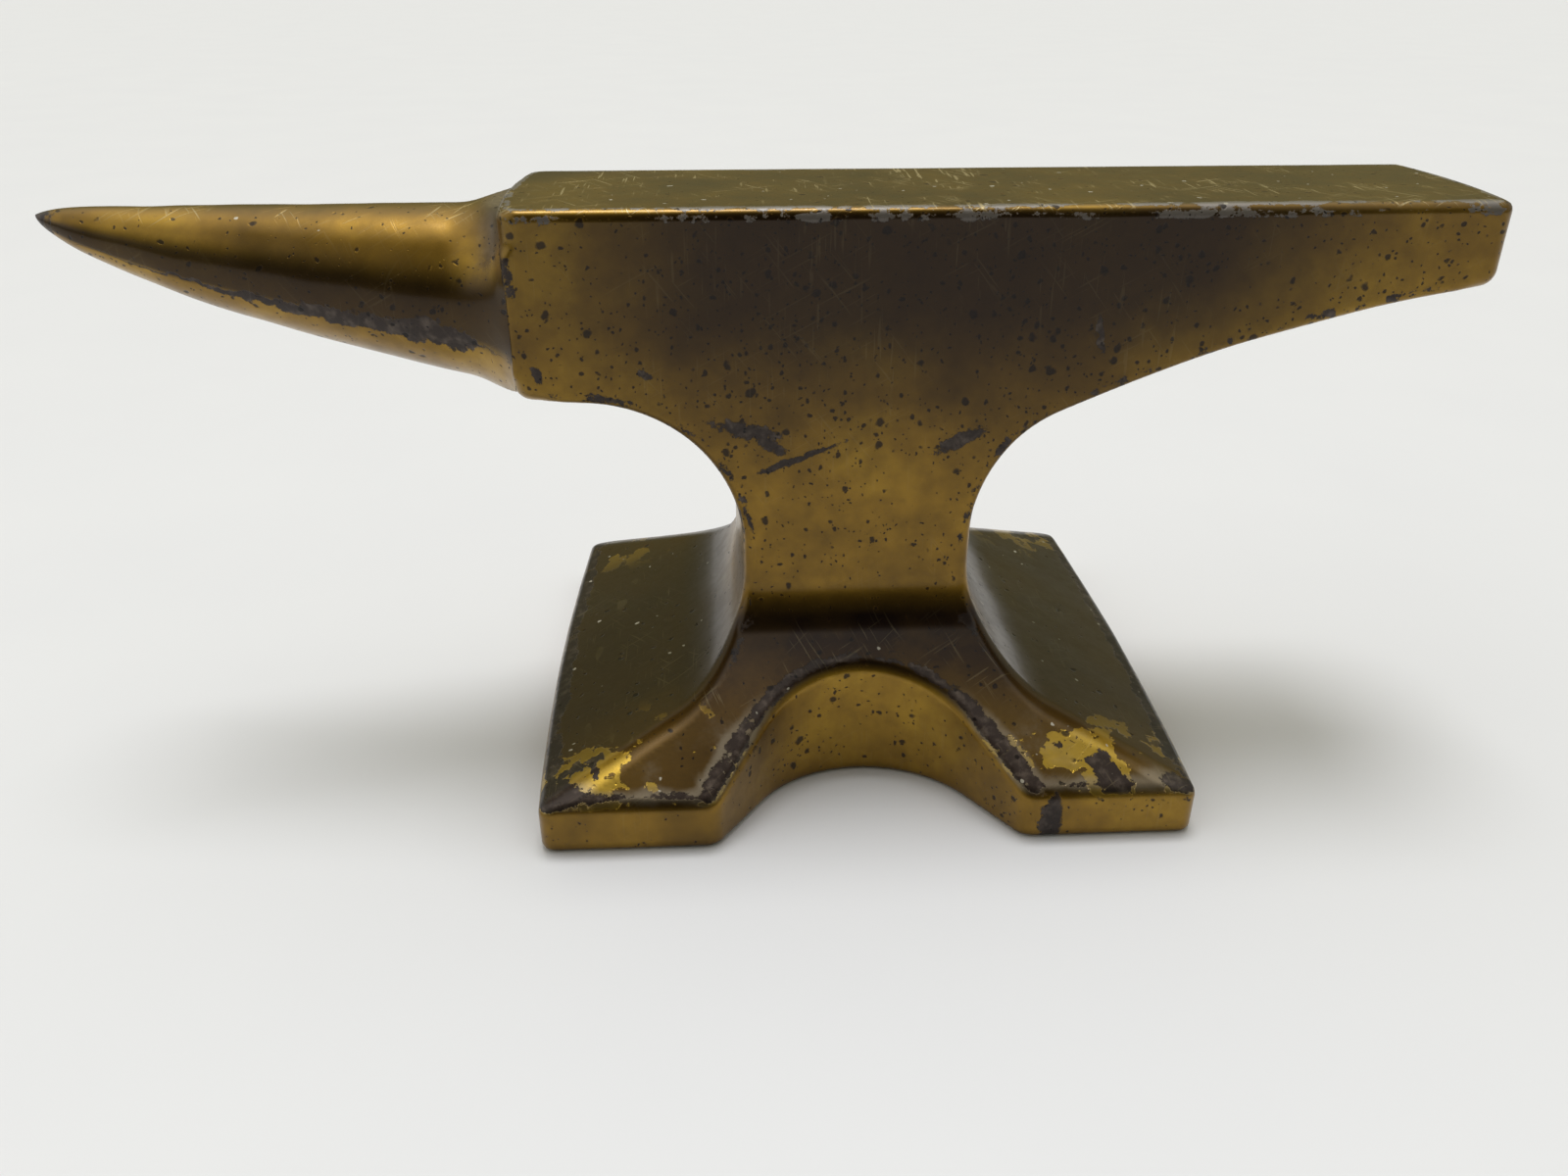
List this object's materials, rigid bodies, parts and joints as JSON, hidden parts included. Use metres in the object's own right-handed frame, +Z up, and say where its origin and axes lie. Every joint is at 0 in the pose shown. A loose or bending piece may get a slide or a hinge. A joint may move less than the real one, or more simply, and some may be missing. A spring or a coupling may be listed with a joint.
{
  "type": "small bench anvil",
  "caption": "Small anvil with a round pointed horn, flat face, long tapering heel, narrow waist and spread feet either side of arched recesses, in worn brass-coloured plating.",
  "frame": {"origin": "centre of the anvil's box, on the surface that the feet rest on", "axes": "+X along the face from the horn to the heel, +Y to the back, +Z up out of the face"},
  "size_m": [0.127, 0.0538, 0.052],
  "materials": {
    "face_plating": "glossy brass-coloured plating, darkened olive brown, finely scratched",
    "body_plating": "glossy brass-coloured plating, pitted and scratched through to dark grey metal",
    "horn_plating": "glossy brass-coloured plating, worn through to dark grey along the lower side",
    "base_plating": "glossy brass-coloured plating, rubbed grey along the ridges and flaked near the feet"
  },
  "bodies": {
    "root": {"face_plate": "face_plating", "upper_body": "body_plating", "horn": "horn_plating", "heel": "body_plating", "waist": "body_plating", "base_block": "base_plating", "foot_front_left": "base_plating", "foot_front_right": "base_plating", "foot_back_left": "base_plating", "foot_back_right": "base_plating"}
  },
  "joints": []
}
